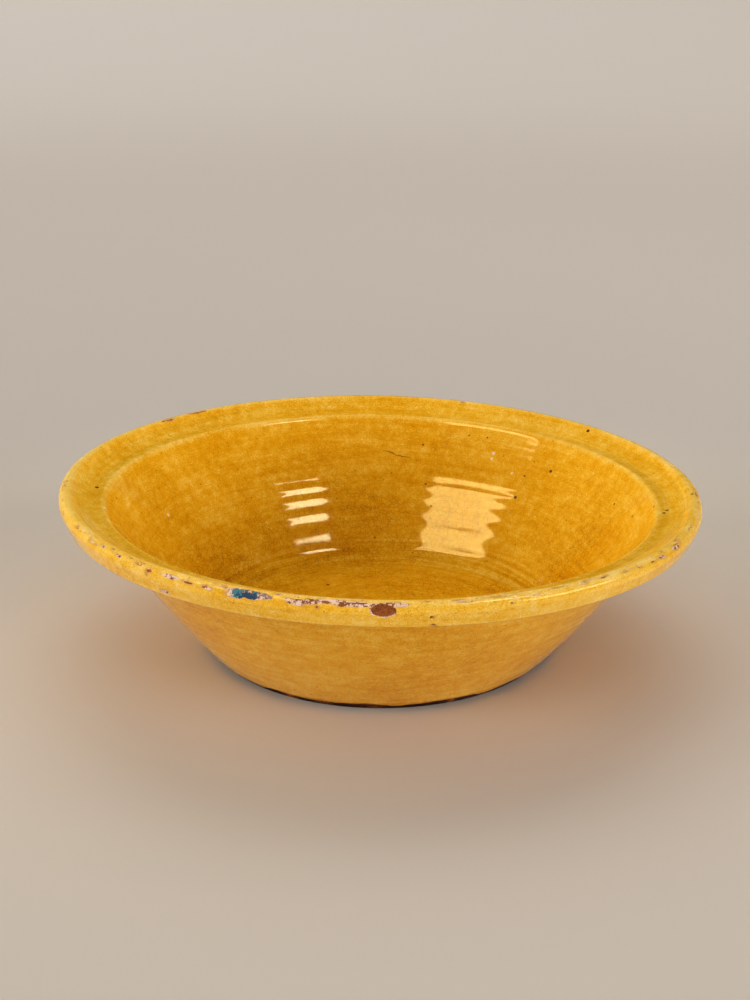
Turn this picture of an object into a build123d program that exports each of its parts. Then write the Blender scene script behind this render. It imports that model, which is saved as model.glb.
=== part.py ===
from build123d import *

import os
from math import atan2, cos, degrees, hypot, radians, sin, tan

# Thrown earthenware mixing bowl: a flat-bottomed well, a straight flaring wall and a hollow
# flange rim with a rounded lip and a plain outer band. Lengths are millimetres.
#
# +Z is up. The origin is the centre of the flat foot that the bowl stands on, and Z is the
# axis that every piece was turned about. A profile is drawn once, as radius against height.
#
# The body is fired clay. White slip and then yellow glaze were poured over the inside and,
# separately, over the outside, so each coat is two thin shells that meet along the crest of
# the lip. The outer ones stop short of the foot, which is left bare.

# Overall sizes, over the finished glaze
RIM_DIAMETER = 400.0
HEIGHT = 106.0
FOOT_DIAMETER = 216.0

# Fired coats
SLIP_THICKNESS = 0.4
GLAZE_THICKNESS = 0.4
BARE_FOOT_HEIGHT = 3.0      # uncoated clay above the standing face

# Clay of the floor and the wall
FLOOR_THICKNESS = 9.2
FLOOR_DIAMETER = 213.0      # where the wall would meet the floor if there were no cove
COVE_RADIUS = 24.0          # sweep from the floor into the wall
WALL_THICKNESS = 6.0        # square to the wall, just under the flange
WALL_BULGE = 1.8            # swell of the outside wall beyond a straight cone
FOOT_EDGE_RADIUS = 1.2

# Clay of the flange rim
FLANGE_WIDTH = 26.2         # from the ridge at the top of the well out to the rim's edge
RIDGE_DROP = 8.6            # from the crest of the lip down to the ridge
RIDGE_RADIUS = 3.5
FLANGE_THICKNESS = 8.8      # at the ridge
UNDERCUT_RADIUS = 7.0       # hollow between the outside wall and the flange
LIP_RADIUS = 4.2            # rounding of the crest
LIP_SIDE_ANGLE = 45.0       # slope of the lip's inner side, above level
BAND_HEIGHT = 13.4          # from the crest down to the band's lower edge
BAND_TAPER = 3.4            # how far the lower edge lies inside the rim's edge
BAND_EDGE_RADIUS = 1.5

COAT_THICKNESS = SLIP_THICKNESS + GLAZE_THICKNESS
RIM_RADIUS = RIM_DIAMETER / 2 - COAT_THICKNESS
CREST_Z = HEIGHT - COAT_THICKNESS


def lip_centre():
    """Centre of the lip's rounding."""
    return (RIM_RADIUS - LIP_RADIUS, CREST_Z - LIP_RADIUS)


def on_lip(angle):
    """Point of the lip's rounding, by degrees above the outward level direction."""
    x, z = lip_centre()
    return (x + LIP_RADIUS * cos(radians(angle)), z + LIP_RADIUS * sin(radians(angle)))


def band_foot():
    """Lower edge of the band."""
    return (RIM_RADIUS - BAND_TAPER, CREST_Z - BAND_HEIGHT)


def band_angle():
    """Where the band's straight face runs off the lip, in degrees as on_lip takes them."""
    x, z = lip_centre()
    dx, dz = band_foot()[0] - x, band_foot()[1] - z
    return degrees(atan2(dz, dx)) + degrees(atan2((hypot(dx, dz) ** 2 - LIP_RADIUS ** 2) ** 0.5, LIP_RADIUS))


def ridge():
    """Corner between the well's wall and the flange, before it is rounded."""
    return (RIM_RADIUS - FLANGE_WIDTH, CREST_Z - RIDGE_DROP)


def floor_corner():
    """Corner between the floor and the well's wall, before it is swept."""
    return (FLOOR_DIAMETER / 2, FLOOR_THICKNESS)


def undercut():
    """Corner between the outside wall and the flange, before it is hollowed."""
    slope = atan2(ridge()[1] - floor_corner()[1], ridge()[0] - floor_corner()[0])
    shift = (WALL_THICKNESS - FLANGE_THICKNESS * cos(slope)) / sin(slope)
    return (ridge()[0] + shift, ridge()[1] - FLANGE_THICKNESS)


def flange_arc():
    """Hollow top of the flange, from the ridge until it runs up the lip's inner side."""
    end = on_lip(90 + LIP_SIDE_ANGLE)
    dx, dz = end[0] - ridge()[0], end[1] - ridge()[1]
    half_turn = radians(LIP_SIDE_ANGLE) - atan2(dz, dx)
    return SagittaArc(ridge(), end, -hypot(dx, dz) / 2 * tan(half_turn / 2))


def clay_outline():
    """Half section of the clay body with sharp corners."""
    foot = (FOOT_DIAMETER / 2, 0)
    return [
        Line((0, 0), foot),
        SagittaArc(foot, undercut(), -WALL_BULGE),
        Line(undercut(), band_foot()),
        Line(band_foot(), on_lip(band_angle())),
        ThreePointArc(on_lip(band_angle()), on_lip(80), on_lip(90 + LIP_SIDE_ANGLE)),
        flange_arc(),
        Line(ridge(), floor_corner()),
        Line(floor_corner(), (0, FLOOR_THICKNESS)),
        Line((0, FLOOR_THICKNESS), (0, 0)),
    ]


def rounded(section, corner, radius):
    """The section with the one corner nearest the given point rounded off."""
    nearest = section.vertices().sort_by_distance((corner[0], corner[1], 0))[0]
    return fillet(nearest, radius)


def clay_section():
    """Half section of the clay body."""
    section = make_face(clay_outline())
    section = rounded(section, (FOOT_DIAMETER / 2, 0), FOOT_EDGE_RADIUS)
    section = rounded(section, undercut(), UNDERCUT_RADIUS)
    section = rounded(section, band_foot(), BAND_EDGE_RADIUS)
    section = rounded(section, ridge(), RIDGE_RADIUS)
    return rounded(section, floor_corner(), COVE_RADIUS)


def well_side():
    """Everything on the well's side of a line that runs inside the clay to the crest."""
    corner, under, top = floor_corner(), undercut(), ridge()
    beyond = HEIGHT + 20
    return make_face(Polyline(
        (0, FLOOR_THICKNESS / 2),
        (corner[0], FLOOR_THICKNESS / 2),
        ((under[0] + top[0]) / 2, (under[1] + top[1]) / 2),
        lip_centre(),
        (lip_centre()[0], beyond),
        (0, beyond),
        (0, FLOOR_THICKNESS / 2),
    ))


def coated_zone():
    """Everything to one side of the axis and above the bare foot."""
    width, height = RIM_DIAMETER, HEIGHT * 2
    return Pos(width / 2, BARE_FOOT_HEIGHT + height / 2) * Rectangle(width, height)


def coat_section(inner, thickness_under, thickness):
    """Half section of one coat all over the clay, between two depths."""
    if thickness_under > 0:
        under = offset(inner, thickness_under, kind=Kind.ARC)
    else:
        under = inner
    over = offset(inner, thickness_under + thickness, kind=Kind.ARC)
    return (over - under) & coated_zone()


def turned(section):
    """Solid of revolution of a half section about Z."""
    return revolve(Plane.XZ * section, Axis.Z)


clay = clay_section()
slip = coat_section(clay, 0, SLIP_THICKNESS)
glaze = coat_section(clay, SLIP_THICKNESS, GLAZE_THICKNESS)

pieces = {
    "clay_body": turned(clay),
    "inside_slip": turned(slip & well_side()),
    "outside_slip": turned(slip - well_side()),
    "inside_glaze": turned(glaze & well_side()),
    "outside_glaze": turned(glaze - well_side()),
}

os.makedirs("parts", exist_ok=True)
for name, piece in pieces.items():
    export_step(piece, f"parts/{name}.step")
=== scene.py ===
import math

import bpy
import numpy as np
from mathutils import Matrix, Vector


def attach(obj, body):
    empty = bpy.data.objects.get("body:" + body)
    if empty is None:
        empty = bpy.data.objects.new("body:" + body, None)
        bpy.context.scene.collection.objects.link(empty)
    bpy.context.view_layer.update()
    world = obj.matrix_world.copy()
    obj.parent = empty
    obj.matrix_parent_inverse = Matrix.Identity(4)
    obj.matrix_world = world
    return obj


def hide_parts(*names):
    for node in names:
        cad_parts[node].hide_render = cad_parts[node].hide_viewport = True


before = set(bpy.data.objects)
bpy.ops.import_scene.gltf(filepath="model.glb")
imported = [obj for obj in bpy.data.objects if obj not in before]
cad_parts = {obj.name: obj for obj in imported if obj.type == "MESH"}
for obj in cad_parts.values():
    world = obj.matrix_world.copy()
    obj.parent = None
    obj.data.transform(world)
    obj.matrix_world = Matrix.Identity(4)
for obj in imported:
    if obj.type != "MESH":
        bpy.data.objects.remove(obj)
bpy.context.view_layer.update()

# ---------------------------------------------------------------------------------------------
# Clay body. One lump of red earthenware, thrown on a wheel and fired. The line below is the
# glazed bowl's half section: from the middle of the floor, up the wall, over the flange and
# the lip, and down the outside and under the foot. Clay, slip and glaze follow it at a depth.

TURN = 2 * math.pi
SLIP_DEPTH = 0.4    # millimetres under the glazed surface
CLAY_DEPTH = 0.8
COAT_END_HEIGHT = 4.8

# Corners as radius, height and rounding, in millimetres.
THROWN_CORNERS = [
    (0.0, 10.0, 0.0),       # middle of the floor
    (106.1, 10.0, 23.2),    # cove
    (146.5, 58.4, 170.0),   # bend of the inside wall
    (172.6, 97.4, 4.3),     # ridge at the top of the well
    (183.8, 96.9, 19.5),    # hollow of the flange
    (192.9, 106.0, 5.0),    # crest of the lip
    (202.4, 106.0, 5.0),    # outer side of the lip
    (196.4, 91.1, 2.3),     # lower edge of the band
    (174.3, 87.1, 6.2),     # undercut
    (144.4, 41.3, 740.0),   # swell of the outside wall
    (108.4, -0.8, 2.0),     # foot
    (0.0, -0.8, 0.0),       # middle of the underside
]


def rounded_line(corners, step=0.25):
    """Even points along the corners with each one rounded, and how far along each corner's middle lies."""
    points, marks = [np.array(corners[0][:2])], []
    for before, here, after in zip(corners, corners[1:], corners[2:]):
        corner = np.array(here[:2])
        back, on = np.array(before[:2]) - corner, np.array(after[:2]) - corner
        back, on = back / np.hypot(*back), on / np.hypot(*on)
        half = math.acos(float(back @ on)) / 2
        middle = (back + on) / np.hypot(*(back + on))
        centre = corner + middle * here[2] / math.sin(half)
        start = corner + back * here[2] / math.tan(half) - centre
        sweep = math.copysign(math.pi - 2 * half, back[1] * on[0] - back[0] * on[1])
        angles = np.linspace(0, sweep, max(7, int(here[2] * abs(sweep) / step)))
        cos, sin = np.cos(angles), np.sin(angles)
        arc = np.stack([start[0] * cos - start[1] * sin, start[0] * sin + start[1] * cos], 1)
        marks.append(len(points) + len(angles) // 2)
        points.extend(centre + arc)
    points = np.array(points + [np.array(corners[-1][:2])])
    far = np.concatenate([[0], np.cumsum(np.hypot(*np.diff(points, axis=0).T))])
    even = np.linspace(0, far[-1], int(far[-1] / step))
    return even, np.stack([np.interp(even, far, points[:, k]) for k in (0, 1)], 1), far[marks]


ALONG, LINE, MARKS = rounded_line(THROWN_CORNERS)
HEADING = np.gradient(LINE, axis=0)
OUTWARD = np.stack([-HEADING[:, 1], HEADING[:, 0]], 1) / np.hypot(*HEADING.T)[:, None]
COVE, BEND, RIDGE, HOLLOW, CREST_IN, CREST_OUT, BAND_EDGE, UNDERCUT, SWELL, FOOT = MARKS
CREST = (CREST_IN + CREST_OUT) / 2
UNDERSIDE = float(ALONG[-1])
COAT_END = float(ALONG[(ALONG < FOOT) & (LINE[:, 1] > COAT_END_HEIGHT)][-1])


def smooth(x):
    x = np.clip(x, 0, 1)
    return x * x * (3 - 2 * x)


CHANCE, STEPS = {}, 512


def drift(turn, along, seed, lobes, step):
    """Unevenness of hand work, -1 to 1, with so many lobes round the bowl and one every step along."""
    if (seed, lobes) not in CHANCE:
        CHANCE[seed, lobes] = np.random.default_rng(seed).uniform(-1, 1, (lobes, STEPS))
    chance = CHANCE[seed, lobes]
    a, b = turn / TURN * lobes, along / step + 64
    i, j = np.floor(a).astype(int), np.floor(b).astype(int)
    fa, fb = smooth(a - i), smooth(b - j)
    here, after = i % lobes, (i + 1) % lobes
    low = chance[here, j % STEPS] * (1 - fa) + chance[after, j % STEPS] * fa
    high = chance[here, (j + 1) % STEPS] * (1 - fa) + chance[after, (j + 1) % STEPS] * fa
    return low * (1 - fb) + high * fb


WELL_RING_PITCH, FLOOR_RING_PITCH, OUTSIDE_RING_PITCH = 10.8, 8.0, 7.5
WELL_RING_HEIGHT, FAINT_RING_HEIGHT = 0.10, 0.05
WELL_RING_START = 147
WELL_RING_CLOSING = 0.0008    # the spiral closes up with height


def throwing_rings(turn, along):
    """Height of the ridges that the potter's fingers left, in millimetres."""
    # They are plain from the cove to the bend, and fainter above it.
    well = smooth((along - COVE + 4) / 10) * smooth((RIDGE - 6 - along) / 8)
    well = well * (1 - 0.75 * smooth((along - BEND + 3) / 12))
    floor = smooth((COVE - 12 - along) / 8)
    outside = smooth((along - UNDERCUT - 6) / 10) * smooth((FOOT - 8 - along) / 8)
    wander = 0.7 * drift(turn, along, 5, 7, 40) + 0.35 * drift(turn, along, 6, 40, 25)
    up = along + wander - WELL_RING_START
    well_wave = np.cos(TURN * (up / WELL_RING_PITCH + WELL_RING_CLOSING * up * up) + turn - math.radians(112))
    floor_wave = np.cos(TURN * (along + wander) / FLOOR_RING_PITCH)
    outside_wave = np.cos(TURN * (along + 1.5 * wander) / OUTSIDE_RING_PITCH - turn)
    one_sided = 0.72 - 0.28 * np.cos(turn + math.radians(30))
    faint = FAINT_RING_HEIGHT * floor * floor_wave + FAINT_RING_HEIGHT * outside * outside_wave
    return WELL_RING_HEIGHT * well * one_sided * well_wave + faint


# Knocks round the rim: degrees round from +X, millimetres along the line, half length,
# half width, tilt, depth of clay lost, and whether the clay shows.
KNOCKS = [
    (270.0, CREST + 5.2, 6.6, 4.7, 4, 1.4, True),       # the big chip in front
    (258.5, CREST + 2.0, 12.0, 1.4, 0, 0, False),       # flaked strip to the left of it
    (264.5, CREST + 1.4, 15.0, 1.7, 2, 0, False),
    (272.5, CREST + 1.4, 4.5, 1.2, 0, 0, False),
    (265.5, CREST + 0.7, 8.0, 0.7, 1, 0.3, True),
    (257.0, CREST + 1.2, 5.0, 0.6, -2, 0.3, True),
    (256.6, CREST + 3.9, 4.0, 0.9, 6, 0, False),
    (261.5, CREST + 1.6, 2.6, 1.2, 0, 0.4, True),
    (263.8, CREST + 2.8, 2.2, 1.1, 0, 0.4, True),
    (259.3, CREST + 0.6, 1.6, 1.0, 0, 0.3, True),
    (249.3, CREST + 2.3, 13.5, 2.7, 2, 0.3, False),     # large flake further left
    (247.0, CREST + 4.4, 5.0, 1.6, 3, 0, False),
    (242.2, CREST + 3.6, 3.6, 0.8, 0, 0, False),
    (238.9, CREST + 3.2, 3.2, 0.8, 0, 0.3, True),
    (235.3, CREST + 2.7, 5.5, 1.0, 0, 0, False),
    (230.7, CREST + 3.4, 2.2, 1.2, 0, 0.4, True),
    (230.6, CREST + 5.9, 1.4, 1.0, 0, 0.3, True),
    (228.2, CREST + 1.4, 2.0, 1.2, 0, 0.4, True),
    (223.0, CREST + 2.1, 2.6, 0.7, 0, 0, False),
    (218.3, CREST + 1.6, 2.8, 0.7, 0, 0, False),
    (215.0, CREST + 2.9, 2.2, 0.7, 0, 0, False),
    (208.0, CREST + 1.9, 1.8, 0.6, 0, 0.3, True),
    (233.5, BAND_EDGE - 2.6, 3.2, 1.3, 0, 0, False),    # on the band
    (277.6, BAND_EDGE - 0.9, 1.3, 1.1, 0, 0.5, True),
    (277.3, CREST + 10.0, 0.9, 0.8, 0, 0.4, True),
    (260.2, CREST + 5.0, 1.0, 0.9, 0, 0.3, True),
    (288.0, CREST - 0.4, 6.5, 0.5, 0, 0.3, True),        # right front of the lip
    (289.8, CREST + 4.7, 1.1, 0.9, 0, 0.3, True),
    (298.4, CREST - 0.6, 4.2, 0.42, 0, 0.3, True),
    (303.8, CREST - 0.4, 3.4, 0.45, 0, 0.3, True),
    (307.4, CREST + 0.2, 2.6, 0.55, 0, 0.3, True),
    (312.2, CREST + 1.4, 3.2, 0.55, 0, 0.3, True),
    (315.7, CREST + 2.2, 1.4, 0.8, 0, 0.3, True),
    (319.5, CREST + 2.6, 2.4, 0.7, 0, 0.4, True),
    (322.3, CREST + 3.0, 3.6, 1.0, 10, 0, False),
    (327.4, CREST + 2.6, 4.2, 1.0, 8, 0, False),
    (328.2, CREST + 0.6, 4.0, 0.6, 6, 0.4, True),
    (337.7, CREST + 0.6, 2.0, 0.6, 0, 0.3, True),
    (355.0, CREST + 1.0, 4.5, 0.9, 0, 0.3, True),
    (140.7, CREST - 2.6, 5.5, 1.8, 0, 0.5, True),       # far side
    (132.5, CREST - 1.6, 9.5, 1.7, 0, 0.6, True),
    (71.3, CREST - 2.4, 2.6, 1.1, 0, 0.3, True),
    (98.0, CREST - 0.5, 2.0, 1.0, 0, 0, False),
]
# Small wear all along the lip, three quarters of it down to the clay.
SMALL_KNOCKS, DOWN_TO_CLAY = 130, 0.75
chance = np.random.default_rng(11)
KNOCKS += [
    (chance.uniform(0, 360), CREST + chance.normal(0.8, 1.3), chance.uniform(0.5, 2.4),
     chance.uniform(0.22, 0.45), chance.uniform(-8, 8), 0.3, bool(chance.random() < DOWN_TO_CLAY))
    for _ in range(SMALL_KNOCKS)
]

NO_KNOCK = -9.0


def knocks(turn, along):
    """Millimetres inside the nearest knock's edge, the same for its bare clay, and the clay lost."""
    inside, bare, lost = np.full(len(turn), NO_KNOCK), np.full(len(turn), NO_KNOCK), np.zeros(len(turn))
    for degrees, place, length, width, tilt, depth, clay in KNOCKS:
        radius = np.interp(place, ALONG, LINE[:, 0])
        round_by = ((turn - math.radians(degrees) + math.pi) % TURN - math.pi) * radius
        near = (np.abs(round_by) < length * 2 + 4) & (np.abs(along - place) < length + width * 2 + 4)
        near = np.nonzero(near)[0]
        if not len(near):
            continue
        u, v = round_by[near], along[near] - place
        c, s = math.cos(math.radians(tilt)), math.sin(math.radians(tilt))
        u, v = (u * c + v * s) / length, (v * c - u * s) / width
        ragged = 0.20 * drift(turn[near], along[near], 90, 700, 1.7)
        ragged = ragged + 0.22 * drift(turn[near], along[near], 91, 200, 4.0)
        narrow = min(length, width)
        deep = (1 - np.hypot(u, v) + ragged * min(1, 1.3 / narrow)) * narrow
        inside[near] = np.maximum(inside[near], deep)
        if clay:
            shown = deep - 0.07 * narrow
            bare[near] = np.maximum(bare[near], shown)
            lost[near] = np.maximum(lost[near], depth * smooth(shown / (0.7 * narrow)))
    return inside, bare, lost


# The rim is a little oval and wavy, and lower towards +X.
RIM_OVALNESS, RIM_WOBBLE = 0.0016, 0.0012
RIM_TILT, RIM_WAVE = 0.020, 0.5
RIM_HEIGHT = 104
# Where a coat has flaked off, its mesh sinks this far into what lies under it.
GLAZE_SUNK, SLIP_SUNK = 1.0, 0.7


def surface(turn, along, depth, layer):
    """Points of the bowl in millimetres, this deep under the glazed surface. Layer is clay, slip or glaze."""
    radius, height = (np.interp(along, ALONG, LINE[:, k]) for k in (0, 1))
    out_r, out_z = (np.interp(along, ALONG, OUTWARD[:, k]) for k in (0, 1))
    inside, bare, lost = knocks(turn, along)
    sunk = depth + lost - throwing_rings(turn, along)
    if layer == "glaze":
        sunk = sunk + GLAZE_SUNK * smooth(inside / 0.5 + 0.5)
    if layer == "slip":
        sunk = sunk + SLIP_SUNK * smooth(bare / 0.5 + 0.5)
    radius, height = radius - out_r * sunk, height - out_z * sunk
    lift = np.clip(height / RIM_HEIGHT, 0, 1.1)
    oval = RIM_OVALNESS * lift * np.cos(2 * turn - 0.9)
    radius = radius * (1 + oval + RIM_WOBBLE * lift * drift(turn, along, 3, 9, 300))
    x, y = radius * np.cos(turn), radius * np.sin(turn)
    return np.stack([x, y, height - RIM_TILT * x * lift + RIM_WAVE * lift * drift(turn, along, 4, 8, 300)], 1)


def facing(turn, along, depth, layer):
    """Outward direction of the surface at each point."""
    step = 0.25
    across = step / np.maximum(np.interp(along, ALONG, LINE[:, 0]), 0.5)
    round_by = surface(turn + across, along, depth, layer) - surface(turn - across, along, depth, layer)
    onward = surface(turn, along + step, depth, layer) - surface(turn, along - step, depth, layer)
    normal = np.cross(onward, round_by)
    return normal / np.maximum(np.linalg.norm(normal, axis=1), 1e-9)[:, None]


def thrown_piece(name, rows, layer, closed=False, chart=None):
    """A mesh of rows round the axis. A row is its number of points, its place along the line, its depth,
    and 1 on the outer face or -1 on the hidden one. The chart gives each corner's place in the texture."""
    counts = np.array([row[0] for row in rows])
    first = np.concatenate([[0], np.cumsum(counts)[:-1]])
    turn = np.concatenate([TURN * np.arange(n) / n for n in counts])
    places = []
    for count, place, *_ in rows:
        round_by = TURN * np.arange(count) / count
        places.append(place(round_by) if callable(place) else np.full(count, float(place)))
    along = np.concatenate(places)
    depth, side = (np.repeat([float(row[k]) for row in rows], counts) for k in (2, 3))
    points = surface(turn, along, depth, layer)
    corners, shares, middles, hidden = [], [], [], []
    pairs = [(k, k + 1) for k in range(len(rows) - 1)]
    for a, b in pairs + ([(len(rows) - 1, 0)] if closed else []):
        fewest, most = sorted((counts[a], counts[b]))
        few = fewest if fewest > 1 else most
        ring = np.arange(few)[:, None]
        part = []
        for row in (a, b):
            steps = counts[row] // few
            reach = ring * steps + np.arange(steps + 1) if counts[row] > 1 else ring * 0
            share = reach / counts[row] if counts[row] > 1 else (ring + 0.5) / few
            part.append((first[row] + reach % counts[row], share))
        (low, low_share), (high, high_share) = part
        corners.append(np.hstack([low[:, :1], high, low[:, :0:-1]]))
        shares.append(np.hstack([low_share[:, :1], high_share, low_share[:, :0:-1]]))
        middles.append(np.repeat((ring + 0.5) / few, corners[-1].shape[1], 1))
        hidden.append(np.full(corners[-1].shape, min(rows[a][3], rows[b][3]) < 0))
    lengths = np.concatenate([np.full(len(c), c.shape[1]) for c in corners])
    corners, shares, middles, hidden = (
        np.concatenate([a.ravel() for a in group]) for group in (corners, shares, middles, hidden))
    mesh = bpy.data.meshes.new(name)
    mesh.vertices.add(len(points))
    mesh.vertices.foreach_set("co", (points / 1000).ravel())
    mesh.loops.add(len(corners))
    mesh.polygons.add(len(lengths))
    mesh.polygons.foreach_set("loop_start", np.concatenate([[0], np.cumsum(lengths)[:-1]]))
    mesh.polygons.foreach_set("vertices", corners)
    mesh.update(calc_edges=True)
    mesh.polygons.foreach_set("use_smooth", np.ones(len(lengths), bool))
    for label, values in (("along", along), ("knock", np.clip(knocks(turn, along)[0], -6, 6))):
        attribute = mesh.attributes.new(label, "FLOAT", "POINT")
        attribute.data.foreach_set("value", values.astype(np.float32))
    if chart:
        uv = np.stack(chart(shares, middles, along[corners], hidden), 1)
        mesh.uv_layers.new(name="OFBake").data.foreach_set("uv", uv.astype(np.float32).ravel())
    # A coat's two ends share their normals with the coat that goes on from there, so no seam shows.
    normals = np.zeros(len(points) * 3)
    mesh.vertex_normals.foreach_get("vector", normals)
    normals = normals.reshape(-1, 3)
    outer = [row[3] > 0 for row in rows]
    ends = [k for k in range(len(rows)) if outer[k] and not (outer[k - 1] and outer[(k + 1) % len(rows)])]
    at_end = np.isin(np.repeat(np.arange(len(rows)), counts), ends) & (np.repeat(counts, counts) > 1)
    normals[at_end] = facing(turn[at_end], along[at_end], depth[at_end], layer)
    mesh.normals_split_custom_set_from_vertices(normals.tolist())
    piece = bpy.data.objects.new(name, mesh)
    bpy.context.collection.objects.link(piece)
    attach(piece, "root")
    return piece


# Points round a row, from coarse to fine.
SPARSE, COARSE, EVEN, FINE, FINEST = 120, 240, 480, 960, 1920


def spread(count, start, end, step):
    """Rows of so many points, at even places from start to end, both included."""
    return [(count, s) for s in np.linspace(start, end, max(1, round(abs(end - start) / step)) + 1)]


class Wire:
    """One output in a material's nodes, which takes sums like a number. node() adds any other node."""

    def __init__(self, tree, socket=None):
        self.tree, self.socket = tree, socket

    def node(self, kind, settings=(), sockets=(), output=0):
        new = self.tree.nodes.new("ShaderNode" + kind)
        for name, value in dict(settings).items():
            if name == "stops":
                while len(new.color_ramp.elements) < len(value):
                    new.color_ramp.elements.new(0.5)
                for stop, (place, colour) in zip(new.color_ramp.elements, value):
                    stop.position, stop.color = place, (*colour, 1)
            else:
                setattr(new, name, value)
        for name, value in dict(sockets).items():
            if isinstance(value, Wire):
                self.tree.links.new(value.socket, new.inputs[name])
            else:
                new.inputs[name].default_value = value
        return Wire(self.tree, new.outputs[output])

    def math(self, operation, *values):
        return self.node("Math", {"operation": operation}, enumerate(values))

    def __add__(self, other):
        return self.math("ADD", self, other)

    def __sub__(self, other):
        return self.math("SUBTRACT", self, other)

    def __mul__(self, other):
        return self.math("MULTIPLY", self, other)

    def __truediv__(self, other):
        return self.math("DIVIDE", self, other)

    def __radd__(self, other):
        return self.math("ADD", other, self)

    def __rsub__(self, other):
        return self.math("SUBTRACT", other, self)

    def __rmul__(self, other):
        return self.math("MULTIPLY", other, self)

    def between(self, low, high):
        """0 below low, 1 above high and smooth between them."""
        limits = {"Value": self, "From Min": low, "From Max": high}
        return self.node("MapRange", {"interpolation_type": "SMOOTHSTEP"}, limits)

    def blend(self, under, over):
        """A colour that goes from under to over as this goes from 0 to 1."""
        under, over = ((*c, 1) if isinstance(c, tuple) else c for c in (under, over))
        return self.node("Mix", {"data_type": "RGBA"}, {0: self, 6: under, 7: over}, 2)

    def stretched(self, x, y, z):
        """This place with each direction multiplied."""
        return self.node("VectorMath", {"operation": "MULTIPLY"}, {0: self, 1: (x, y, z)})

    def noise(self, scale, detail=3.0, roughness=0.55, distortion=0.0):
        """Noise read at this place."""
        form = {"Scale": scale, "Detail": detail, "Roughness": roughness, "Distortion": distortion}
        return self.node("TexNoise", {}, {"Vector": self, **form})


def new_material(name):
    """An empty material, a wire to start from and its output node."""
    material = bpy.data.materials.new(name)
    material.use_nodes = True
    material.node_tree.nodes.clear()
    return material, Wire(material.node_tree), material.node_tree.nodes.new("ShaderNodeOutputMaterial")


def finish_material(start, output, **sockets):
    """Joins a shader with these sockets to the material's output."""
    shader = start.node("BsdfPrincipled", {}, {k.replace("_", " "): v for k, v in sockets.items()})
    start.tree.links.new(shader.socket, output.inputs["Surface"])


CLAY_COLOURS = [(0.34, (0.08, 0.018, 0.005)), (0.5, (0.32, 0.085, 0.017)), (0.68, (0.40, 0.13, 0.035))]
FOOT_SHADE_COLOUR = (0.026, 0.006, 0.003)


def fired_clay():
    """Bare red earthenware: matt and gritty, with darker places at random, and painted shade along the bottom
    of the foot.
    """
    material, start, output = new_material("fired_red_clay")
    place = start.node("TexCoord", {}, {}, "Object")
    tone = place.noise(60, 4) * 0.6 + place.noise(900, 3, 0.7) * 0.4
    height = place.node("SeparateXYZ", {}, {0: place}, 2)
    # Painted shade: the clay goes nearly black in its lowest few millimetres, broken up by its tone, where
    # shade falls under the foot.
    foot_shade = (1 - height.between(0.003, 0.008)) * (1 - tone.between(0.52, 0.66))
    colour = foot_shade.blend(tone.node("ValToRGB", {"stops": CLAY_COLOURS}, {"Fac": tone}), FOOT_SHADE_COLOUR)
    bump = start.node("Bump", {}, {"Strength": 0.5, "Distance": 0.0006, "Height": tone})
    finish_material(start, output, Base_Color=colour, Roughness=0.85, Specular_IOR_Level=0.15, Normal=bump)
    return material


clay_line = (
    [(1, 0)]
    + spread(SPARSE, 6, 90, 12)
    + spread(EVEN, 96, CREST - 18, 4)
    + spread(FINE, CREST - 15, CREST - 12, 1.5)
    + spread(FINEST, CREST - 10, CREST + 14, 0.8)
    + spread(FINE, CREST + 15, CREST + 24, 1.5)
    + spread(EVEN, CREST + 28, COAT_END - 4, 4)
    + spread(FINE, COAT_END - 3, FOOT + 2, 0.5)
    + spread(SPARSE, FOOT + 6, UNDERSIDE - 6, 12)
    + [(1, UNDERSIDE)]
)
clay_body = thrown_piece("clay_body_thrown", [(n, s, CLAY_DEPTH, 1) for n, s in clay_line], "clay")
clay_body.data.materials.append(fired_clay())
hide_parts("clay_body")

# ---------------------------------------------------------------------------------------------
# Slip. White liquid clay, poured over the inside and then over the outside before firing. It
# lies under the glaze, and shows only where the glaze has flaked off the rim.


SLIP_COLOUR, STAIN_COLOUR = (0.76, 0.52, 0.37), (0.22, 0.060, 0.022)
# Old blue and grey paint or dirt in the large flake: middle and reach in metres, and colour.
OLD_PAINT = [
    ((-0.0745, -0.1838, 0.1070), 0.0042, (0.05, 0.18, 0.21)),
    ((-0.0665, -0.1862, 0.1068), 0.0024, (0.05, 0.17, 0.20)),
    ((-0.0705, -0.1874, 0.1045), 0.0048, (0.025, 0.055, 0.095)),
    ((-0.0590, -0.1890, 0.1068), 0.0040, (0.22, 0.15, 0.14)),
]


def white_slip():
    """Bare slip: matt and pinkish, stained brown where dirt has worked in."""
    material, start, output = new_material("bare_white_slip")
    place = start.node("TexCoord", {}, {}, "Object")
    stain = place.noise(450, 4, 0.7).between(0.50, 0.56)
    colour = stain.blend(SLIP_COLOUR, STAIN_COLOUR)
    for middle, reach, tint in OLD_PAINT:
        far = place.node("VectorMath", {"operation": "DISTANCE"}, {0: place, 1: middle}, 1)
        ragged = (place.noise(420, 4, 0.7) - 0.5) * (reach * 5)
        spot = 1 - (far + ragged).between(reach * 0.9, reach * 1.1)
        colour = spot.blend(colour, tint)
    bump = start.node("Bump", {}, {"Strength": 0.4, "Distance": 0.0004, "Height": place.noise(700)})
    finish_material(start, output, Base_Color=colour, Roughness=0.8, Specular_IOR_Level=0.15, Normal=bump)
    return material


def coat_rows(outer, inner, depth, thickness):
    """Rows of a coat: its outer face as count and place, then its hidden face back again."""
    return [(n, s, depth, 1) for n, s in outer] + [(n, s, depth + thickness, -1) for n, s in inner]


def uneven_end(back):
    """Place of a row near the coats' uneven lower edge, some millimetres from it."""
    def place(turn):
        wave = 1.5 * drift(turn, 0 * turn, 21, 38, 10) + 0.8 * drift(turn, 0 * turn, 22, 170, 10)
        return COAT_END + back + wave * max(0.0, 1 + back / 5)
    return place


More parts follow.
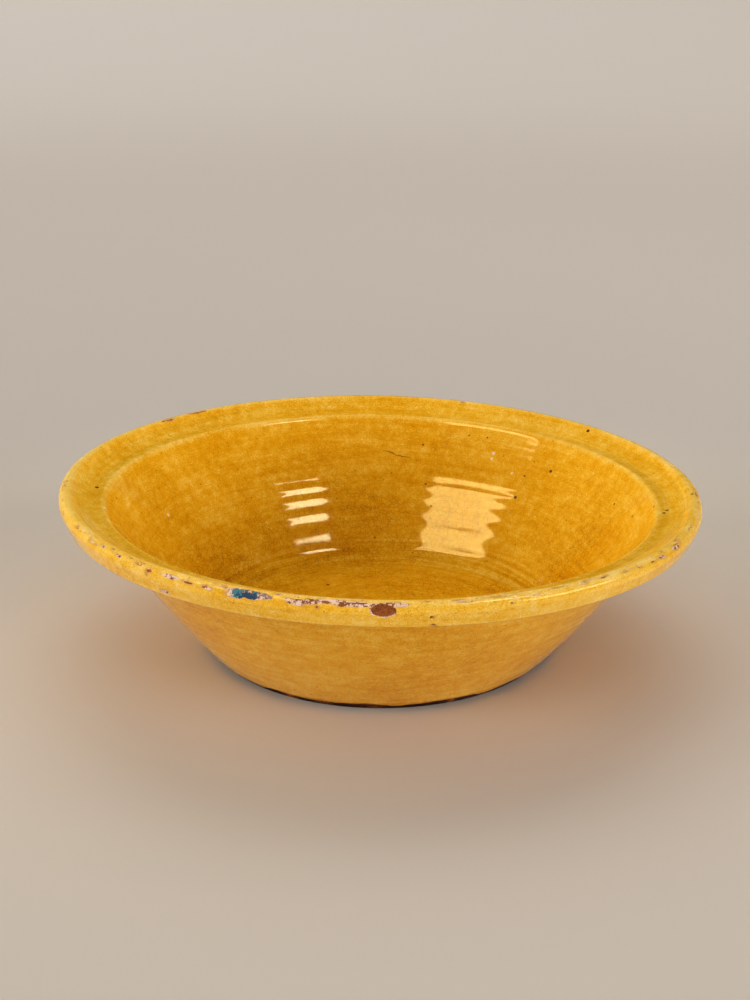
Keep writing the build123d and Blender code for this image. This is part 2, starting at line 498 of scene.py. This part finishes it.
slip_paint = white_slip()
SLIP_THICKNESS = CLAY_DEPTH - SLIP_DEPTH
SLIP_END = -0.8    # the slip stops this far short of the glaze
inside_slip_shown = (
    [(1, 0)]
    + spread(SPARSE, 6, 90, 6)
    + spread(EVEN, 96, CREST - 14, 3)
    + spread(FINEST, CREST - 12, CREST, 0.7)
)
inside_slip_hidden = (
    [(FINEST, CREST), (EVEN, CREST - 8)]
    + spread(EVEN, CREST - 14, 96, 8)
    + spread(SPARSE, 90, 10, 10)
    + [(1, 0)]
)
outside_slip_shown = (
    spread(FINEST, CREST, CREST + 14, 0.7)
    + spread(EVEN, CREST + 16, COAT_END - 5, 3)
    + [(FINE, uneven_end(SLIP_END))]
)
outside_slip_hidden = (
    [(FINE, uneven_end(SLIP_END))]
    + spread(EVEN, COAT_END - 6, CREST + 16, 8)
    + [(FINEST, CREST)]
)
inside_slip = thrown_piece(
    "inside_slip_coat", coat_rows(inside_slip_shown, inside_slip_hidden, SLIP_DEPTH, SLIP_THICKNESS), "slip")
outside_slip = thrown_piece(
    "outside_slip_coat", coat_rows(outside_slip_shown, outside_slip_hidden, SLIP_DEPTH, SLIP_THICKNESS),
    "slip", closed=True)
for coat, node in ((inside_slip, "inside_slip"), (outside_slip, "outside_slip")):
    coat.data.materials.append(slip_paint)
    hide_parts(node)

# ---------------------------------------------------------------------------------------------
# Inside glaze. Yellow lead glaze, poured into the well and swilled round. It is deep amber
# where it lies thick and straw where it lies thin, on the ridge and the lip.


# Flecks in the glaze: degrees round, millimetres along the line and radius. Dark ones are iron
# or dirt in a pit. Pale ones are burst bubbles that show the slip.
DARK_FLECKS = [
    (78.6, RIDGE - 21, 0.5), (76.6, RIDGE - 50.8, 0.5), (73.8, COVE + 41.5, 0.5), (67.0, RIDGE - 10.2, 0.5),
    (62.2, RIDGE - 9.7, 0.5), (48.5, RIDGE - 32, 0.5), (41.4, RIDGE - 23.2, 0.9), (48.6, RIDGE - 49, 1.0),
    (122.2, COVE - 37.8, 0.9), (91.8, COVE + 15.4, 0.4), (180.6, HOLLOW - 4.2, 1.1),
    (180.0, RIDGE - 8.8, 0.8), (355.3, RIDGE - 1.9, 0.7), (350.1, RIDGE + 4.1, 0.9),
    (351.7, HOLLOW - 4.7, 0.8), (14.1, RIDGE - 23.6, 0.6), (2.4, RIDGE - 19.6, 0.5),
    (339.9, RIDGE - 0.5, 0.7), (39.7, CREST_IN - 2.9, 1.0), (354.7, CREST_IN + 1.3, 0.9),
]
PALE_FLECKS = [
    (59.4, RIDGE - 20.5, 1.0), (59.5, RIDGE - 24.9, 0.7), (192.4, RIDGE - 0.6, 1.0),
    (161.6, RIDGE - 41.2, 0.9), (1.4, COVE + 37.2, 1.1), (52.5, RIDGE - 32.4, 0.6),
]
# Glaze colours from thin to thick, over white slip.
GLAZE_COLOURS = [
    (0.0, (0.92, 0.66, 0.24)), (0.2, (0.88, 0.51, 0.06)), (0.42, (0.79, 0.37, 0.006)),
    (0.62, (0.67, 0.255, 0.002)), (0.85, (0.42, 0.12, 0.001)),
]
CRAZE_COLOUR, IRON_COLOUR = (0.30, 0.10, 0.01), (0.085, 0.028, 0.008)
BARE_FLECK_COLOUR, WORN_COLOUR = (0.86, 0.62, 0.36), (0.55, 0.27, 0.09)


def flecks(turn, along, noise, spots):
    """1 inside any of the spots."""
    found = 0.0
    for degrees, place, radius in spots:
        middle = math.radians(degrees % 360 - 360 * (degrees > 180))
        round_by = (turn - middle) * float(np.interp(place, ALONG, LINE[:, 0]))
        far = turn.math("SQRT", round_by * round_by + (along - place) * (along - place))
        found = turn.math("MAXIMUM", found, 1 - (far + noise).between(radius, radius + 0.45))
    return found


def yellow_glaze(name, dark_flecks, pale_flecks):
    """Glossy yellow glaze over slip, with the streaks of its pouring and the turning under it."""
    material, start, output = new_material(name)
    place = start.node("TexCoord", {}, {}, "Object")
    along = start.node("Attribute", {"attribute_name": "along"}, {}, "Fac")
    knock = start.node("Attribute", {"attribute_name": "knock"}, {}, "Fac")
    side, back = (place.node("SeparateXYZ", {}, {0: place}, k) for k in (0, 1))
    turn = start.math("ARCTAN2", back, side)
    flat = place.node("VectorMath", {"operation": "NORMALIZE"}, {0: place.stretched(1, 1, 0)})
    up_line = place.node("CombineXYZ", {}, {"Z": along / 100.0})
    unrolled = place.node("VectorMath", {"operation": "ADD"}, {0: flat, 1: up_line})

    runs = unrolled.stretched(2.2, 2.2, 16).noise(1, 4, 0.6, 0.6)
    lines = unrolled.stretched(5, 5, 95).noise(1, 4, 0.6)
    cloud = place.noise(15, 4, 0.6, 0.4)
    mottle = place.noise(150, 5, 0.7)
    grain = place.noise(1100, 3, 0.8)

    # Thickness of the glaze. It drains off every edge and gathers low in the well.
    def edge(mark, near, far):
        return 1 - start.math("ABSOLUTE", along - mark + (mottle - 0.5) * 2).between(near, far)

    low = 1 - along.between(COVE + 10, RIDGE - 15)
    outside = along.between(BAND_EDGE, UNDERCUT)
    rim = along.between(RIDGE, RIDGE + 4) * (1 - along.between(BAND_EDGE - 1, BAND_EDGE + 1))
    band = rim * along.between(CREST_OUT, CREST_OUT + 3)
    thick = 0.45 + low * 0.05 + (runs - 0.5) * 0.42 + (cloud - 0.5) * 0.40 + (lines - 0.5) * 0.18
    thick = thick + (mottle - 0.5) * 0.68 + (grain - 0.5) * 0.95
    rubbed = unrolled.stretched(1.1, 1.1, 34).noise(1, 3, 0.5)
    thick = thick + (rubbed - 0.5) * 0.8 * (1 - start.math("ABSOLUTE", along - COVE - 2).between(5, 26))
    thick = thick - edge(RIDGE, 0.5, 4.0) * 0.14 - edge(CREST, 1.0, 6.5) * 0.20
    # Over the rim, and more over the band, the glaze is painted thinner and paler: partly thin glaze there,
    # partly a painted sheen of the light on the flange and band.
    thick = thick - edge(BAND_EDGE, 0.5, 3.0) * 0.10 - rim * 0.06 - band * 0.10 - outside * 0.04
    thick = thick + edge(COAT_END, 0.5, 3.5) * 0.22
    colour = thick.node("ValToRGB", {"stops": GLAZE_COLOURS}, {"Fac": thick})

    # Fine crazing, iron specks, pits, worn edges of the flaked places, and one long crack.
    craze = start.node("TexVoronoi", {"feature": "DISTANCE_TO_EDGE"}, {"Vector": place, "Scale": 270})
    craze = (1 - craze.between(0.0, 0.08)) * cloud.between(0.36, 0.60) * (0.24 + low * 0.34)
    colour = craze.blend(colour, CRAZE_COLOUR)
    iron = start.node("TexVoronoi", {}, {"Vector": place, "Scale": 170}) + (grain - 0.5) * 0.2
    iron = (1 - iron.between(0.05, 0.12)) * place.noise(75, 2).between(0.50, 0.56)
    ragged = (grain - 0.5) * 1.2
    dark = start.math("MAXIMUM", iron * 0.75, flecks(turn, along, ragged, dark_flecks))
    degrees = turn * (180 / math.pi)
    crack = along - (RIDGE - 29.5) - (degrees - 85.5) * 0.68 + (place.noise(220, 3) - 0.5) * 5
    crack = 1 - start.math("ABSOLUTE", crack).between(0.10, 0.50)
    crack = crack * degrees.between(81, 82.5) * (1 - degrees.between(88, 90))
    dark = start.math("MAXIMUM", dark, crack * 0.85)
    colour = dark.blend(colour, IRON_COLOUR)
    pale = flecks(turn, along, ragged, pale_flecks)
    colour = pale.blend(colour, BARE_FLECK_COLOUR)
    worn = knock.between(-0.9, -0.1) * mottle.between(0.40, 0.60)
    colour = (worn * 0.7).blend(colour, WORN_COLOUR)

    height = (lines - 0.5) * 0.006 + (runs - 0.5) * 0.012 + (place.noise(330, 2) - 0.5) * 0.010
    height = height + (grain - 0.5) * 0.0012 - dark * 0.02 - pale * 0.04
    bump = start.node("Bump", {}, {"Strength": 1.0, "Distance": 0.001, "Height": height})
    rough = 0.05 + grain.between(0.45, 0.75) * 0.10
    rough = rough + edge(CREST, 2.0, 7.0) * 0.14 + edge(RIDGE, 0.5, 3.0) * 0.16 + dark * 0.15 + worn * 0.3
    shine = {"Roughness": rough, "IOR": 1.5, "Specular_Tint": (1.0, 0.80, 0.30, 1)}
    finish_material(start, output, Base_Color=colour, Normal=bump, **shine)
    return material


def round_chart(reach):
    """Texture place on a disc seen from above, with the hidden face small in a corner."""
    def chart(share, middle, along, hidden):
        size = np.where(hidden, 0.08, 0.495) * along / reach
        centre = np.where(hidden, 0.085, 0.5)
        return centre + size * np.cos(TURN * share), centre + size * np.sin(TURN * share)
    return chart


def strip_chart(start, end, strips):
    """Texture place on strips laid one above the other, with the hidden face in a thin one on top."""
    def chart(share, middle, along, hidden):
        across = np.clip((along - start) / (end - start), 0, 1)
        strip = np.floor(middle * strips)
        u = np.where(hidden, share, 0.004 + 0.992 * (share * strips - strip))
        v = np.where(hidden, 0.98 + 0.015 * across, (strip + 0.04 + 0.92 * across) / strips * 0.97)
        return u, v
    return chart


well_shown = (
    [(1, 0), (SPARSE, 5), (SPARSE, 8)]
    + spread(COARSE, 11, 50, 2.5)
    + spread(EVEN, 52, COVE - 14, 2.2)
    + spread(FINE, COVE - 12, RIDGE, 1.35)
)
well_hidden = (
    [(FINE, RIDGE), (COARSE, RIDGE - 6)]
    + spread(COARSE, RIDGE - 12, COVE, 10)
    + spread(SPARSE, COVE - 6, 10, 12)
    + [(1, 0)]
)
flange_shown = (
    spread(FINE, RIDGE, CREST - 13, 1.2)
    + spread(FINEST, CREST - 12, CREST, 0.6)
)
flange_hidden = [(FINEST, CREST), (EVEN, CREST - 6), (EVEN, HOLLOW), (FINE, RIDGE)]
well_glaze = thrown_piece(
    "inside_glaze_well", coat_rows(well_shown, well_hidden, 0, SLIP_DEPTH), "glaze",
    chart=round_chart(RIDGE))
flange_glaze = thrown_piece(
    "inside_glaze_flange", coat_rows(flange_shown, flange_hidden, 0, SLIP_DEPTH), "glaze",
    closed=True, chart=strip_chart(RIDGE, CREST, 6))
inside_paint = yellow_glaze("inside_yellow_glaze", DARK_FLECKS, PALE_FLECKS)
for coat in (well_glaze, flange_glaze):
    coat.data.materials.append(inside_paint)
    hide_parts("inside_glaze")

# ---------------------------------------------------------------------------------------------
# Outside glaze. The same glaze, poured over the upturned bowl. It stops just above the foot
# in an uneven edge, and breaks thin and pale on the band's lower edge.

WALL_TOP = UNDERCUT - 4    # the band's mesh ends here and the wall's begins
band_shown = (
    spread(FINEST, CREST, CREST + 14, 0.6)
    + spread(FINE, CREST + 15, WALL_TOP, 1.0)
)
band_hidden = [(FINE, WALL_TOP), (EVEN, UNDERCUT - 10), (EVEN, BAND_EDGE), (EVEN, CREST + 6), (FINEST, CREST)]
wall_shown = (
    spread(FINE, WALL_TOP, COAT_END - 5.5, 1.4)
    + [(FINE, uneven_end(k)) for k in range(-5, 1)]
)
wall_hidden = (
    [(FINE, uneven_end(0)), (EVEN, COAT_END - 5)]
    + spread(EVEN, COAT_END - 10, UNDERCUT, 9)
    + [(FINE, WALL_TOP)]
)
band_glaze = thrown_piece(
    "outside_glaze_band", coat_rows(band_shown, band_hidden, 0, SLIP_DEPTH), "glaze",
    closed=True, chart=strip_chart(CREST, WALL_TOP, 5))
wall_glaze = thrown_piece(
    "outside_glaze_wall", coat_rows(wall_shown, wall_hidden, 0, SLIP_DEPTH), "glaze",
    closed=True, chart=strip_chart(WALL_TOP, COAT_END, 3))
outside_paint = yellow_glaze("outside_yellow_glaze", [(277.2, CREST + 10, 0.5)], [(120, SWELL, 0.6)])
for coat in (band_glaze, wall_glaze):
    coat.data.materials.append(outside_paint)
    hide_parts("outside_glaze")

# ---------------------------------------------------------------------------------------------
# Table and light. The table is pale, and painted paler near the bowl as painted light against the shade
# there, with a plain backdrop far out all round it.
# Windows shine in the glaze, and soft light comes from the rest of the room.


NEAR_PAINTED_LIGHT_COLOUR, FAR_COLOUR = (0.575, 0.495, 0.415), (0.48, 0.425, 0.375)
SIDES = 96
TABLE_LINE = [(0.8, 0.0), (2.2, 0.0)]
BACKDROP_LINE = [
    (2.2, 0.0), (2.4, 0.002), (2.6, 0.012), (2.8, 0.04), (3.0, 0.09), (3.4, 0.27), (3.7, 0.5), (3.95, 0.85),
    (4.1, 1.4), (4.2, 4.0),
]


def plain_stage(name, line, filled):
    """A round surface from a half section in metres, matt and pale, painted paler near the middle as painted
    light, with its middle filled or open.
    """
    mesh = bpy.data.meshes.new(name)
    ring = np.arange(SIDES) * TURN / SIDES
    points = [(r * math.cos(a), r * math.sin(a), z) for r, z in line for a in ring]
    faces = []
    for low in range(0, (len(line) - 1) * SIDES, SIDES):
        high = low + SIDES
        for j in range(SIDES):
            on = (j + 1) % SIDES
            faces.append([low + j, high + j, high + on, low + on])
    if filled:
        faces.append(list(range(SIDES)))
    mesh.from_pydata(points, [], faces)
    mesh.polygons.foreach_set("use_smooth", [True] * len(mesh.polygons))
    thing = bpy.data.objects.new(name, mesh)
    bpy.context.collection.objects.link(thing)
    material, start, output = new_material(name)
    place = start.node("TexCoord", {}, {}, "Object")
    far = place.node("VectorMath", {"operation": "LENGTH"}, {0: place}, 1)
    # Painted light: paler within about 0.2 to 0.6 m of the middle, against the shade round the bowl.
    colour = far.between(0.20, 0.60).blend(NEAR_PAINTED_LIGHT_COLOUR, FAR_COLOUR)
    finish_material(start, output, Base_Color=colour, Roughness=0.95, Specular_IOR_Level=0.1)
    mesh.materials.append(material)
    return thing


plain_stage("plain_table", TABLE_LINE, True)
backdrop = plain_stage("plain_backdrop", BACKDROP_LINE, False)
backdrop.visible_glossy = backdrop.visible_shadow = backdrop.visible_diffuse = False


def toward(compass, up):
    """Direction from degrees round from +X and degrees above the table."""
    compass, up = math.radians(compass), math.radians(up)
    return Vector((math.cos(compass) * math.cos(up), math.sin(compass) * math.cos(up), math.sin(up)))


WELL_MIDDLE = Vector((0, 0.08, 0.05))
WINDOW_DISTANCE = 2


def window(name, corners, radiance):
    """A bright panel with its corners given as directions from the well."""
    mesh = bpy.data.meshes.new(name)
    points = [WELL_MIDDLE + toward(*corner) * WINDOW_DISTANCE for corner in corners]
    mesh.from_pydata(points, [], [[0, 1, 2, 3]])
    panel = bpy.data.objects.new(name, mesh)
    bpy.context.collection.objects.link(panel)
    material, start, output = new_material(name)
    strength = max(radiance)
    tint = (*(c / strength for c in radiance), 1)
    glow = start.node("Emission", {}, {"Color": tint, "Strength": strength})
    start.tree.links.new(glow.socket, output.inputs["Surface"])
    mesh.materials.append(material)
    panel.visible_camera = panel.visible_diffuse = False


def soft_light(name, direction, softness, strength):
    """Soft even light from one side of the room, too spread out to shine in the glaze."""
    lamp = bpy.data.lights.new(name, "SUN")
    lamp.angle, lamp.energy = math.radians(softness), strength
    light = bpy.data.objects.new(name, lamp)
    light.rotation_euler = toward(*direction).to_track_quat("Z", "Y").to_euler()
    light.visible_glossy = False
    bpy.context.collection.objects.link(light)


window("right_window", [(-43, 56.8), (-16, 50.8), (-16, 58.4), (-43, 65.2)], (16, 17, 22))
window("low_right_window", [(-44, 14), (-12, 14), (-12, 27), (-44, 27)], (8, 8, 8))
window("left_window", [(-127, 52.8), (-177, 41.8), (-174, 57), (-127, 68)], (10.2, 9.4, 7.4))
soft_light("right_side", (-26, 10), 40, 3.9)
soft_light("left_side", (-160, 12), 40, 2.35)
soft_light("front", (-80, 36), 50, 0.62)
soft_light("far_side", (90, 50), 50, 1.25)
soft_light("left_back", (160, 30), 50, 0.4)
soft_light("above", (0, 90), 100, 0.55)

# The room itself is dim, with a glow low down all round and a bright yellow wall at the back and left.
DIM_COLOUR, LOW_COLOUR, WALL_COLOUR = (0.012, 0.009, 0.006), (0.30, 0.25, 0.18), (1.1, 0.88, 0.10, 1)
room = bpy.data.worlds.new("room")
bpy.context.scene.world = room
room.use_nodes = True
room.node_tree.nodes.clear()
start = Wire(room.node_tree)
look = start.node("TexCoord", {}, {}, "Generated")
side, back, up = (start.node("SeparateXYZ", {}, {0: look}, k) for k in range(3))
round_by = start.math("ARCTAN2", back, side)
wall_glow = round_by.between(0.8, 2.9) * (1 - round_by.between(2.99, 3.02)) * (1 - up.between(0.60, 0.63))
room_light = (1 - up.between(0.08, 0.2)).blend(DIM_COLOUR, LOW_COLOUR)
adding = {"data_type": "RGBA", "blend_type": "ADD"}
room_light = start.node("Mix", adding, {0: wall_glow, 6: room_light, 7: WALL_COLOUR}, 2)
backing = start.node("Background", {}, {"Color": room_light, "Strength": 0.6})
output = room.node_tree.nodes.new("ShaderNodeOutputWorld")
room.node_tree.links.new(backing.socket, output.inputs["Surface"])
bpy.context.scene.view_settings.view_transform = "Standard"

camera = bpy.data.objects.new("camera", bpy.data.cameras.new("camera"))
camera.data.sensor_width = 36
camera.data.lens = 56.16
camera.data.clip_start, camera.data.clip_end = 0.01, 100
camera.location = (-0.0052, -0.9338, 0.4222)
camera.rotation_euler = (math.radians(90 - 19.47), 0, math.radians(-0.09))
bpy.context.collection.objects.link(camera)
bpy.context.scene.camera = camera
